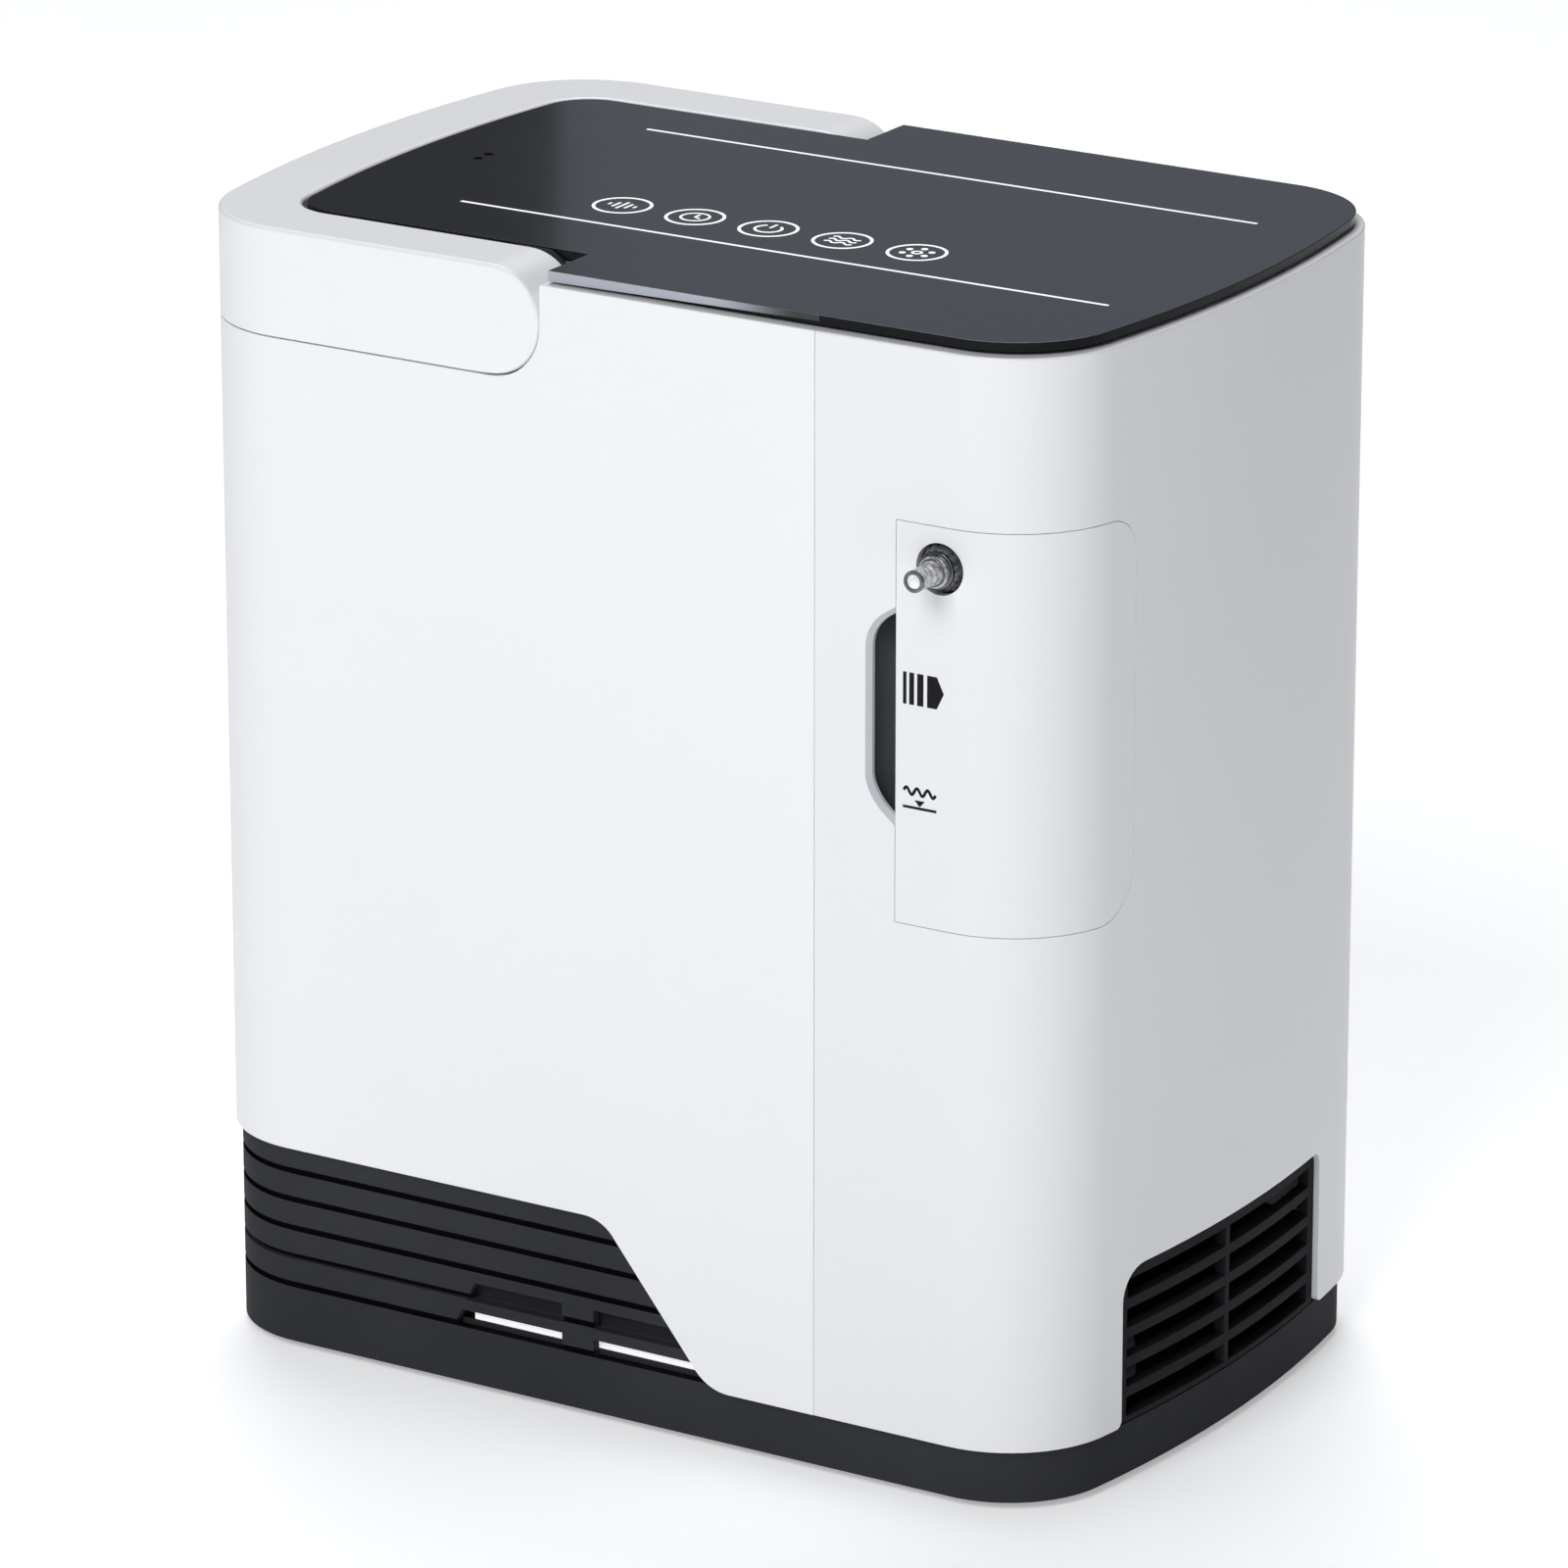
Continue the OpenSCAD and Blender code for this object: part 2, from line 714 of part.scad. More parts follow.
module oxygen_tank() color(white) {
  rod_x(-112, -20, 42, 303, 24);
  block([-100, 30, shelf_z + 2], [-88, 54, 285]);
  block([-44, 30, shelf_z + 2], [-32, 54, 285]);
}

module pressure_regulator() color(alu) {
  rod_z(296, 330, 100, -44, 12);
  rod_z(330, 340, 100, -44, 7);
  block([94, -61, 300], [106, -50, 318]);
}

module oxygen_sensor() color([0.15, 0.3, 0.5]) {
  block([100, -95, 320.5], [134, -74, 336]);
  rod_x(134, 142, -84.5, 328, 3);
  rod_x(92, 100, -84.5, 328, 3);
}

module exhaust_muffler() color(black) {
  rod_x(92, 153, -60, 32, 19);
  block([98, -72, floor_z], [142, -48, 20]);
}

// ---------- electrics ----------

module top_shelf() color(steel) {
  block([-122, -62, shelf_z], [62, 72, shelf_z + 2]);
  for (x = [-122, 58]) for (y = [-62, 64]) block([x, y, fan_z], [x + 4, y + 8, shelf_z]);
}

module power_supply() color(alu) difference() {
  block([-116, -54, shelf_z + 2], [-36, 6, shelf_z + 36]);
  for (i = [0:8]) block([-108 + i * 8, -60, shelf_z + 12], [-105 + i * 8, 20, shelf_z + 28]);
}

module run_capacitor() color([0.85, 0.85, 0.87]) {
  rod_x(0, 58, 44, 297, 18);
  block([8, 34, shelf_z + 2], [50, 54, 283]);
}

module main_board() color(board) {
  block([-28, -52, 284], [54, 8, 285.6]);
  for (x = [-22, 48]) for (y = [-46, 2]) rod_z(shelf_z + 2, 284, x, y, 3);
  block([-10, -40, 285.6], [14, -16, 300]);
  block([24, -40, 285.6], [44, -30, 297]);
  for (i = [0:3]) rod_z(285.6, 302, -16 + i * 12, -2, 4.5);
  for (i = [0:5]) block([20, -24 + i * 4, 285.6], [46, -22.4 + i * 4, 305]);
}

module ion_generator() color(black) {
  block([98, -72, 320.5], [130, -62, 340]);
  for (x = [108, 120]) rod_z(340, 347, x, -67, 1.2);
}

// Intake, compressor to coil, coil to valves, and valves to exhaust muffler
module air_hoses() color([0.85, 0.86, 0.88]) {
  hose([[door_x, 84, fan_z], [door_x, 84, 188], [20, 84, 188], [20, 84, 110], [20, 36, 110]], 5);
  hose([
    [cyl_x[0], 24, 182], [cyl_x[0], 24, 189], [50, 24, 189], [50, 58, 189],
    [50, 58, 244], [50, 0, 244], [2, 0, 244]
  ], 4);
  hose([[cyl_x[1], 24, 182], [cyl_x[1], 24, 189]], 4);
  hose([[2, 0, 264], [68, 0, 264], [68, 0, 309], [92, 0, 309]], 3);
  hose([[128, 34, 309], [147, 34, 309], [147, 34, 62], [147, -60, 62], [147, -60, 51]], 4);
}

// Valves to tank, and regulator to the cup's dock
module oxygen_hoses() color([0.9, 0.92, 0.94]) {
  hose([
    [92, 14, 309], [64, 14, 309], [64, 24, 330], [-12, 24, 330],
    [-12, 42, 330], [-12, 42, 303], [-20, 42, 303]
  ], 3);
  hose([
    [100, -44, 296], [100, -44, 280], [nozzle_x, -44, 280],
    [nozzle_x, -44, nozzle_z], [nozzle_x, -61, nozzle_z]
  ], 3);
}

// Power leads: inlet to supply, supply to motor, and the touch board's lead
module wiring() color([0.75, 0.15, 0.1]) {
  hose([[inlet_x, 76, 54], [inlet_x, 30, 54], [73, 30, 54], [73, 30, 285], [73, -20, 285], [54, -20, 285]], 1.6);
  hose([[34, -20, 305], [34, -20, 356], [60, -20, 356], [60, -20, 370.2]], 2);
}

// Puts the middle of the overall width, with outlet and button, at Y = 0
module centred() {
  translate([0, mid_y, 0]) children();
}

centred() shell_left();
centred() shell_right();
centred() base_tray();
centred() side_grille();
centred() exhaust_deflector();
centred() rubber_feet();
centred() base_screws();
centred() panel_spacer();
centred() top_glass();
centred() touch_board();
centred() buzzer();
centred() handle();
centred() handle_pivots();
centred() cup_cover();
centred() cup_bottle();
centred() cup_lid();
centred() outlet_nozzle();
centred() cup_seal();
centred() bay_liner();
centred() filter_door();
centred() foam_filter();
centred() intake_cartridge();
centred() power_inlet();
centred() inlet_pins();
centred() breaker_body();
centred() reset_button();
centred() partition();
centred() compressor_plate();
centred() compressor_mounts();
centred() motor_housing();
centred() motor_stator();
centred() motor_rotor();
centred() drive_shaft();
centred() counterweights();
centred() shaft_fans();
centred() shaft_bearings();
centred() crankcases();
centred() pistons();
centred() cylinders();
centred() cylinder_heads();
centred() fan_frame();
centred() fan_rotor();
centred() cooling_coil();
centred() sieve_beds();
centred() bed_caps();
centred() bed_bracket();
centred() valve_manifold();
centred() solenoids();
centred() oxygen_tank();
centred() pressure_regulator();
centred() oxygen_sensor();
centred() exhaust_muffler();
centred() top_shelf();
centred() power_supply();
centred() run_capacitor();
centred() main_board();
centred() ion_generator();
centred() air_hoses();
centred() oxygen_hoses();
centred() wiring();
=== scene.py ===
# Looks for the home oxygen concentrator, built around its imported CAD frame. Units are metres.
import json
import math

import bmesh
import bpy
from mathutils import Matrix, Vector

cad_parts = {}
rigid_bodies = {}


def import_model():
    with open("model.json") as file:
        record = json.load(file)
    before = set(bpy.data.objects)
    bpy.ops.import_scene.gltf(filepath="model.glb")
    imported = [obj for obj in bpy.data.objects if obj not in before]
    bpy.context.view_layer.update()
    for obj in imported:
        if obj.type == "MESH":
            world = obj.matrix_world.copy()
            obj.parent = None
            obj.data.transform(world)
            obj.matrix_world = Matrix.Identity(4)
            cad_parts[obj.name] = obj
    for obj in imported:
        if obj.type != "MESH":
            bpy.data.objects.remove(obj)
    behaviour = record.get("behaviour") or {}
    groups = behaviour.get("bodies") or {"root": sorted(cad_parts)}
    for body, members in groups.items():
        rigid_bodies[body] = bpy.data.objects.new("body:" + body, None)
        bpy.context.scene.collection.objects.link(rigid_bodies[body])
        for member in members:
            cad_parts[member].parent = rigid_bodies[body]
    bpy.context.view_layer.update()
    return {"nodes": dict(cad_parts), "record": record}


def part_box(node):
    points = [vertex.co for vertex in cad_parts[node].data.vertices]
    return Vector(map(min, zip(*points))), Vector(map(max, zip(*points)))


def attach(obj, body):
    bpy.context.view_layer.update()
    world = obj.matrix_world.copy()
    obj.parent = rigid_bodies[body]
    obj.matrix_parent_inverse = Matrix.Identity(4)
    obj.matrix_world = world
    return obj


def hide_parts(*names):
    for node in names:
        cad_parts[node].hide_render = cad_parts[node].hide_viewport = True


for leftover in list(bpy.data.objects):
    bpy.data.objects.remove(leftover)
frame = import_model()
NODES = frame["nodes"]
MM = 0.001
SCENE = bpy.context.scene

# ---------------------------------------------------------------- places taken from the CAD frame
SHELL_LO, SHELL_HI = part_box("shell_left")
BODY_LO = Vector((SHELL_LO.x, SHELL_LO.y, 0))
BODY_HI = Vector((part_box("shell_right")[1].x, SHELL_HI.y, SHELL_HI.z))
MID_Y = (BODY_LO.y + BODY_HI.y) / 2
GLASS_LO, GLASS_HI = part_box("top_glass")
COVER_LO, COVER_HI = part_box("cup_cover")
NOZZLE_LO, NOZZLE_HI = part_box("outlet_nozzle")
NOZZLE_X = (NOZZLE_LO.x + NOZZLE_HI.x) / 2
NOZZLE_Z = (NOZZLE_LO.z + NOZZLE_HI.z) / 2


# ---------------------------------------------------------------- materials
def new_material(name):
    mat = bpy.data.materials.new(name)
    mat.use_nodes = True
    nodes = mat.node_tree.nodes
    nodes.clear()
    out = nodes.new("ShaderNodeOutputMaterial")
    shader = nodes.new("ShaderNodeBsdfPrincipled")
    mat.node_tree.links.new(shader.outputs[0], out.inputs[0])
    return mat, nodes, mat.node_tree.links, shader


def noise_node(nodes, links, coords, scale, detail=3.0, rough=0.55, stretch=(1, 1, 1)):
    mapping = nodes.new("ShaderNodeMapping")
    mapping.inputs["Scale"].default_value = stretch
    links.new(coords, mapping.inputs[0])
    noise = nodes.new("ShaderNodeTexNoise")
    noise.inputs["Scale"].default_value = scale
    noise.inputs["Detail"].default_value = detail
    noise.inputs["Roughness"].default_value = rough
    links.new(mapping.outputs[0], noise.inputs["Vector"])
    return noise.outputs[0]


def spread(nodes, links, value, low, high):
    """The noise's middle half, spread over low to high."""
    rng = nodes.new("ShaderNodeMapRange")
    rng.inputs["From Min"].default_value = 0.3
    rng.inputs["From Max"].default_value = 0.7
    rng.inputs["To Min"].default_value = low
    rng.inputs["To Max"].default_value = high
    links.new(value, rng.inputs[0])
    return rng.outputs[0]


def moulded(name, base, rough, tint=0.02, patch=9.0, grain=900.0, bump=0.02, metallic=0.0,
            coat=0.0, stretch=(1, 1, 1), rough_spread=0.04, specular=0.5, depth=0.0004, glow=0.0, clear=0.0):
    """Moulded or machined surface: slow colour drift, uneven gloss and a fine bump."""
    mat, nodes, links, shader = new_material(name)
    coords = nodes.new("ShaderNodeTexCoord").outputs["Object"]
    slow = noise_node(nodes, links, coords, patch, 2.0)
    fine = noise_node(nodes, links, coords, grain, 3.0, 0.6, stretch)
    ramp = nodes.new("ShaderNodeMix")
    ramp.data_type = "RGBA"
    ramp.inputs["A"].default_value = (*[c * (1 - tint) for c in base], 1)
    ramp.inputs["B"].default_value = (*[min(1, c * (1 + tint)) for c in base], 1)
    links.new(spread(nodes, links, slow, 0, 1), ramp.inputs["Factor"])
    links.new(ramp.outputs["Result"], shader.inputs["Base Color"])
    links.new(spread(nodes, links, fine, rough - rough_spread, rough + rough_spread),
              shader.inputs["Roughness"])
    ripple = nodes.new("ShaderNodeBump")
    ripple.inputs["Strength"].default_value = bump
    ripple.inputs["Distance"].default_value = depth
    links.new(fine, ripple.inputs["Height"])
    links.new(ripple.outputs[0], shader.inputs["Normal"])
    shader.inputs["Metallic"].default_value = metallic
    shader.inputs["Coat Weight"].default_value = coat
    shader.inputs["Coat Roughness"].default_value = 0.06
    shader.inputs["Specular IOR Level"].default_value = specular
    shader.inputs["Emission Color"].default_value = (1, 1, 1, 1)
    shader.inputs["Emission Strength"].default_value = glow
    shader.inputs["Transmission Weight"].default_value = clear
    return mat


def clear_plastic(name, tint, rough=0.06):
    mat, nodes, links, shader = new_material(name)
    coords = nodes.new("ShaderNodeTexCoord").outputs["Object"]
    fine = noise_node(nodes, links, coords, 420.0, 2.0)
    links.new(spread(nodes, links, fine, rough * 0.6, rough * 1.6), shader.inputs["Roughness"])
    ripple = nodes.new("ShaderNodeBump")
    ripple.inputs["Strength"].default_value = 0.05
    ripple.inputs["Distance"].default_value = 0.0003
    links.new(fine, ripple.inputs["Height"])
    links.new(ripple.outputs[0], shader.inputs["Normal"])
    shader.inputs["Base Color"].default_value = (*tint, 1)
    shader.inputs["Transmission Weight"].default_value = 1.0
    shader.inputs["IOR"].default_value = 1.49
    return mat


def painted_reflection_fade(name, light, dark, start, stop):
    """Painted reflection for a polished edge: a frosted grey that fades to dark between two places along X.
    """
    mat, nodes, links, shader = new_material(name)
    coords = nodes.new("ShaderNodeTexCoord").outputs["Object"]
    parts = nodes.new("ShaderNodeSeparateXYZ")
    links.new(coords, parts.inputs[0])
    fade = nodes.new("ShaderNodeMapRange")
    fade.interpolation_type = "SMOOTHSTEP"
    fade.inputs["From Min"].default_value = start
    fade.inputs["From Max"].default_value = stop
    links.new(parts.outputs["X"], fade.inputs[0])
    ramp = nodes.new("ShaderNodeMix")
    ramp.data_type = "RGBA"
    ramp.inputs["A"].default_value = (*light, 1)
    ramp.inputs["B"].default_value = (*dark, 1)
    links.new(fade.outputs[0], ramp.inputs["Factor"])
    links.new(ramp.outputs["Result"], shader.inputs["Base Color"])
    fine = noise_node(nodes, links, coords, 300.0, 2.0)
    links.new(spread(nodes, links, fine, 0.25, 0.4), shader.inputs["Roughness"])
    return mat


M = {
    "white": moulded("white_gloss_abs", (0.84, 0.848, 0.87), 0.42, tint=0.008, patch=6, grain=700,
                     bump=0.012, coat=0.25),
    # A lighter copy of the white plastic for the handle: painted light
    "handle": moulded("white_handle_painted_light", (0.85, 0.857, 0.878), 0.42, tint=0.008, patch=7, grain=700,
                      bump=0.012, coat=0.2),
    # A darker copy of the white plastic for the right shell and the cover: painted shade
    "white_painted_shade": moulded("white_abs_painted_shade", (0.8, 0.807, 0.828), 0.42, tint=0.008, patch=6, grain=700,
                           bump=0.012, coat=0.25),
    # Painted reflection on the glass's front edge: light grey fading to dark along X
    "edge_reflection": painted_reflection_fade("glass_edge_painted_reflection", (0.40, 0.425, 0.48), (0.02, 0.021, 0.024), 0.036, 0.068),
    # Painted light: white that glows, for the plate behind the base's slots, though it is no lamp
    "inner_white_glow": moulded("inner_white_glow", (0.95, 0.955, 0.965), 0.5, tint=0.01, glow=0.5),
    "black": moulded("black_base_plastic", (0.033, 0.0342, 0.039), 0.6, tint=0.12, patch=14, grain=1500,
                     bump=0.08, rough_spread=0.06, specular=0.03),
    # A darker copy of the base's black plastic for the side grille: painted shade on the side away from the
    # lamps
    "grille": moulded("side_grille_painted_shade", (0.019, 0.0197, 0.0225), 0.6, tint=0.12, patch=14,
                      grain=1500, bump=0.08, specular=0.03),
    "pocket": moulded("finger_pocket_grey", (0.1, 0.105, 0.118), 0.55, tint=0.08, patch=20, grain=1600,
                      bump=0.1),
    "smoke": moulded("clear_plastic_rim", (0.075, 0.079, 0.09), 0.12, tint=0.6, patch=500, grain=900,
                     bump=0.2, coat=1.0),
    "frost": moulded("clear_plastic_barrel", (0.62, 0.64, 0.68), 0.15, tint=0.7, patch=620, grain=900,
                     bump=0.4, coat=1.0, clear=0.3),
    # The outlet's bore glows a little, a painted light that brightens it
    "bore": moulded("outlet_bore_glow", (0.86, 0.875, 0.9), 0.4, tint=0.12, patch=300, glow=0.15),
    "cone": moulded("fluted_clear_plastic", (0.06, 0.063, 0.073), 0.14, tint=0.9, patch=420, grain=900,
                    bump=0.3, coat=1.0),
    "dark": moulded("dark_grey_plastic", (0.09, 0.095, 0.108), 0.5, tint=0.1, patch=20, grain=1600,
                    bump=0.1),
    "glass": moulded("touch_glass", (0.031, 0.0325, 0.038), 0.12, tint=0.03, patch=5, grain=60,
                     bump=0.004, coat=0.6, rough_spread=0.02),
    # A darker copy of the glass for its side faces: painted shade
    "glass_edge": moulded("glass_edge_painted_shade", (0.006, 0.0065, 0.008), 0.22, tint=0.05, patch=20,
                          grain=60, bump=0.004, specular=0.1),
    # Painted shade: near-black for the faces inside the base's grooves
    "groove": moulded("groove_painted_shade", (0.004, 0.0042, 0.005), 0.7, tint=0.12, patch=14, grain=1500,
                      bump=0.08, specular=0.02),
    "pit": moulded("sensor_pit_black", (0.002, 0.002, 0.0022), 0.8, tint=0.1, patch=60, specular=0.02),
    # Painted shade: a grey copy of the white plastic for the finger recess's chamfered rim
    "lip": moulded("recess_lip_painted_shade", (0.55, 0.565, 0.6), 0.42, tint=0.01, patch=8, grain=700,
                   bump=0.012, coat=0.2),
    # White print that also glows, a painted light
    "glowing_print": moulded("white_ink_glow", (0.97, 0.975, 0.985), 0.5, tint=0.03, patch=60, glow=0.3),
    "mark_black": moulded("black_ink", (0.006, 0.0065, 0.008), 0.6, tint=0.1, patch=60, specular=0.15),
    "rubber": moulded("rubber", (0.02, 0.02, 0.021), 0.75, tint=0.2, patch=60, grain=2200, bump=0.3),
    "foam": moulded("filter_foam", (0.03, 0.031, 0.033), 0.95, tint=0.4, patch=900, grain=1300, bump=1.0,
                    depth=0.001),
    "steel": moulded("steel", (0.55, 0.56, 0.58), 0.34, tint=0.05, patch=30, grain=700, bump=0.1,
                     metallic=1.0, stretch=(0.1, 1, 1)),
    "alu": moulded("cast_aluminium", (0.62, 0.63, 0.65), 0.42, tint=0.06, patch=40, grain=1200, bump=0.3,
                   metallic=1.0),
    "copper": moulded("copper_tube", (0.72, 0.36, 0.2), 0.3, tint=0.12, patch=30, grain=500, bump=0.05,
                      metallic=1.0),
    "laminations": moulded("motor_laminations", (0.25, 0.12, 0.06), 0.4, tint=0.2, patch=40, grain=1200,
                           bump=0.2, metallic=0.4),
    "canister": moulded("canister", (0.62, 0.63, 0.65), 0.35, tint=0.03, patch=20, grain=800, bump=0.05),
    "light": moulded("light_plastic", (0.72, 0.72, 0.73), 0.5, tint=0.03, patch=16, grain=900, bump=0.06),
    "red": moulded("red_plastic", (0.55, 0.02, 0.02), 0.28, tint=0.05, patch=40, grain=700, bump=0.03),
    "board": moulded("circuit_board", (0.02, 0.13, 0.06), 0.35, tint=0.25, patch=120, grain=500, bump=0.2),
    "blue": moulded("blue_plastic", (0.03, 0.09, 0.25), 0.4, tint=0.06, patch=40),
    "hose": moulded("silicone_hose", (0.72, 0.73, 0.75), 0.38, tint=0.04, patch=50, grain=500, bump=0.05),
    "wire": moulded("wire_insulation", (0.5, 0.03, 0.02), 0.45, tint=0.08, patch=80),
    "clear": clear_plastic("clear_plastic", (0.93, 0.96, 0.985)),
}

FINISH = {
    "white": ["shell_left", "shell_right", "cup_cover", "filter_door"],
    "handle": ["handle"],
    # the exhaust deflector glows white, a painted light
    "inner_white_glow": ["exhaust_deflector"],
    "grille": ["side_grille"],
    "black": ["base_tray", "panel_spacer", "handle_pivots", "power_inlet", "breaker_body",
              "fan_frame", "fan_rotor", "shaft_fans", "exhaust_muffler", "bed_caps", "buzzer",
              "ion_generator", "solenoids"],
    "dark": ["bay_liner"],
    "glass": ["top_glass"],
    "rubber": ["rubber_feet", "cup_seal", "compressor_mounts"],
    "foam": ["foam_filter"],
    "steel": ["base_screws", "inlet_pins", "compressor_plate", "motor_rotor", "drive_shaft",
              "counterweights", "shaft_bearings", "cylinders", "bed_bracket"],
    "alu": ["motor_housing", "crankcases", "pistons", "cylinder_heads", "valve_manifold",
            "pressure_regulator", "top_shelf", "power_supply"],
    "laminations": ["motor_stator"],
    "copper": ["cooling_coil"],
    "canister": ["sieve_beds"],
    "light": ["partition", "intake_cartridge", "oxygen_tank", "run_capacitor"],
    "red": ["reset_button"],
    "board": ["touch_board", "main_board"],
    "blue": ["oxygen_sensor"],
    "hose": ["air_hoses", "oxygen_hoses"],
    "wire": ["wiring"],
    "clear": ["cup_bottle", "cup_lid", "outlet_nozzle"],
}
for key, names in FINISH.items():
    for name in names:
        for slot in NODES[name].material_slots:
            slot.material = M[key]

BODIES = frame["record"]["behaviour"]["bodies"]
BODY_OF = {node: body for body, nodes in BODIES.items() for node in nodes}


# ---------------------------------------------------------------- mesh helpers
def link(name, mesh, material, body):
    obj = bpy.data.objects.new(name, mesh)
    SCENE.collection.objects.link(obj)
    mesh.materials.append(material)
    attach(obj, body)
    return obj


def mesh_of(bm, name):
    mesh = bpy.data.meshes.new(name)
    bm.to_mesh(mesh)
    bm.free()
    return mesh


def middle_of(edge):
    return (edge.verts[0].co + edge.verts[1].co) / 2


def runs_along(edge, axis):
    along = edge.verts[1].co - edge.verts[0].co
    return abs(along[axis]) > 0.9 * along.length


def near(value, target, reach=0.0006):
    return abs(value - target) < reach


def split_sharp(obj):
    sharp = obj.modifiers.new("edges", "EDGE_SPLIT")
    sharp.split_angle = math.radians(40)


SHARP_ANGLE = math.radians(28)


def refined(node, material, width, weight=None, segments=3, reshape=(), merge=2e-5):
    """A piece with the CAD node's own shape whose edges are rounded, standing for that node."""
    bm = bmesh.new()
    bm.from_mesh(NODES[node].data)
    bmesh.ops.remove_doubles(bm, verts=bm.verts, dist=merge)
    bmesh.ops.dissolve_limit(bm, angle_limit=math.radians(0.4), verts=bm.verts, edges=bm.edges)
    bmesh.ops.recalc_face_normals(bm, faces=bm.faces)
    for change in reshape:
        change(bm)
    layer = bm.edges.layers.float.new("bevel_weight_edge")
    for edge in bm.edges:
        if len(edge.link_faces) != 2 or edge.calc_face_angle(0) < SHARP_ANGLE:
            continue
        edge[layer] = 1.0 if weight is None else weight(middle_of(edge), edge)
        edge.smooth = edge[layer] > 0
    for face in bm.faces:
        face.smooth = True
    name = node + "_piece"
    obj = link(name, mesh_of(bm, name), material, BODY_OF[node])
    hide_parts(node)
    bevel = obj.modifiers.new("rounded", "BEVEL")
    bevel.limit_method = "WEIGHT"
    bevel.width = width
    bevel.segments = segments
    bevel.use_clamp_overlap = True
    bevel.harden_normals = False
    bevel.loop_slide = False
    shade = obj.modifiers.new("normals", "WEIGHTED_NORMAL")
    shade.weight = 100
    shade.keep_sharp = True
    return obj


# Places and small distances that the fine shape of the pieces depends on, in metres
SEAM_X = (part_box("shell_left")[1].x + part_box("shell_right")[0].x) / 2
SEAM_DRAW = 0.00012
HANDLE_LO, HANDLE_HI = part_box("handle")
HANDLE_DRAW = 0.0004
PIVOT_X = -0.042
COVER_DRAW = 0.00018
RECESS_LO, RECESS_HI = Vector((0.0945, 0, 0.2212)), Vector((0.1046, 0, 0.2890))
GRILLE_Y = (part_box("side_grille")[0].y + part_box("side_grille")[1].y) / 2
# The base's lowest rib, the distance between ribs and the groove's width, in millimetres
RIB_START, RIB_PITCH, GROOVE_WIDTH = 21.4, 9.85, 1.8
# Weights of X, Y and Z that put the parts of a mesh in a fixed order
ORDER = Vector((1.0, 31.7, 997.3))


def shell_weight(middle, edge):
    """How much of the widest rounding an edge of the shells gets."""
    around_x = RECESS_LO.x - 0.003 < middle.x < RECESS_HI.x
    around_z = RECESS_LO.z - 0.003 < middle.z < RECESS_HI.z + 0.003
    cover_z = COVER_LO.z - 0.001 < middle.z < COVER_HI.z + 0.001
    if abs(middle.x - SEAM_X) < 0.0005:
        return 0.06
    if near(middle.z, BODY_HI.z, 0.0003):
        return 1.0 if runs_along(edge, 1) and middle.x < -0.02 else 0.45
    if middle.z > HANDLE_LO.z - 0.002 and middle.x < -0.02:
        return 0.07
    if around_x and around_z:
        return 0.0
    if COVER_LO.x - 0.001 < middle.x and middle.y < MID_Y and cover_z:
        return 0.06
    outside = near(middle.y, BODY_LO.y) or near(middle.y, BODY_HI.y) or abs(middle.x) > 0.128
    return 0.24 if outside else 0.0


def narrow_seam(bm):
    """Draws a shell's edge at the seam 0.12 mm nearer to the other shell."""
    for vert in bm.verts:
        if near(vert.co.x, SEAM_X, 0.0003):
            vert.co.x += SEAM_DRAW if vert.co.x < SEAM_X else -SEAM_DRAW


def handle_weight(middle, edge):
    """Every edge is soft but the underside's, which lie against the shell."""
    return 0.12 if middle.x < PIVOT_X + 0.0005 and middle.z < HANDLE_LO.z + 0.0006 else 1.0


def round_off(bm, edges, offset, segments):
    """Bevels edges in place and returns the new faces."""
    made = bmesh.ops.bevel(bm, geom=edges, offset=offset, offset_type="OFFSET", segments=segments,
                           profile=0.5, affect="EDGES", clamp_overlap=True)
    return made["faces"]


def in_recess(co):
    return (RECESS_LO.x < co.x < RECESS_HI.x + 0.0002 and RECESS_LO.z < co.z < RECESS_HI.z
            and co.y < MID_Y)


def is_leg_corner(edge):
    middle = middle_of(edge)
    low_right = middle.x > 0.15 and near(middle.z, SHELL_LO.z)
    return low_right and runs_along(edge, 0) and abs(middle.y - GRILLE_Y) < 0.07


def is_recess_corner(edge):
    middle = middle_of(edge)
    return in_recess(middle) and middle.x < 0.1 and runs_along(edge, 1)


def soften_openings(bm):
    """Rounds the corners of the legs beside the side grille and of the finger recess, and gives the
    recess's front edge a grey chamfer, a painted shade."""
    round_off(bm, [edge for edge in bm.edges if is_leg_corner(edge)], 0.0028, 5)
    round_off(bm, [edge for edge in bm.edges if is_recess_corner(edge)], 0.0026, 4)
    rim = [edge for edge in bm.edges
           if all(in_recess(v.co) and near(v.co.y, BODY_LO.y) for v in edge.verts)]
    for face in round_off(bm, rim, 0.0016, 1):
        face.material_index = 1
    # The bevel leaves its new parts in an order that changes from run to run
    bm.verts.sort(key=lambda vert: vert.co.dot(ORDER))
    bm.edges.sort(key=lambda edge: middle_of(edge).dot(ORDER))
    bm.faces.sort(key=lambda face: face.calc_center_median().dot(ORDER))


def lower_arms(bm):
    """Draws the handle's underside and round ends 0.4 mm nearer to the shell."""
    pivot_z = (HANDLE_LO.z + HANDLE_HI.z) / 2
    end_r = (HANDLE_HI.z - HANDLE_LO.z) / 2
    for vert in bm.verts:
        across, up = vert.co.x - PIVOT_X, vert.co.z - pivot_z
        reach = math.hypot(across, up)
        if across > 0.0001 and reach > end_r - 0.0005:
            share = HANDLE_DRAW * (1 - max(0.0, up / reach)) / reach
            vert.co.x += across * share
            vert.co.z += up * share
        elif near(vert.co.z, HANDLE_LO.z):
            vert.co.z -= HANDLE_DRAW


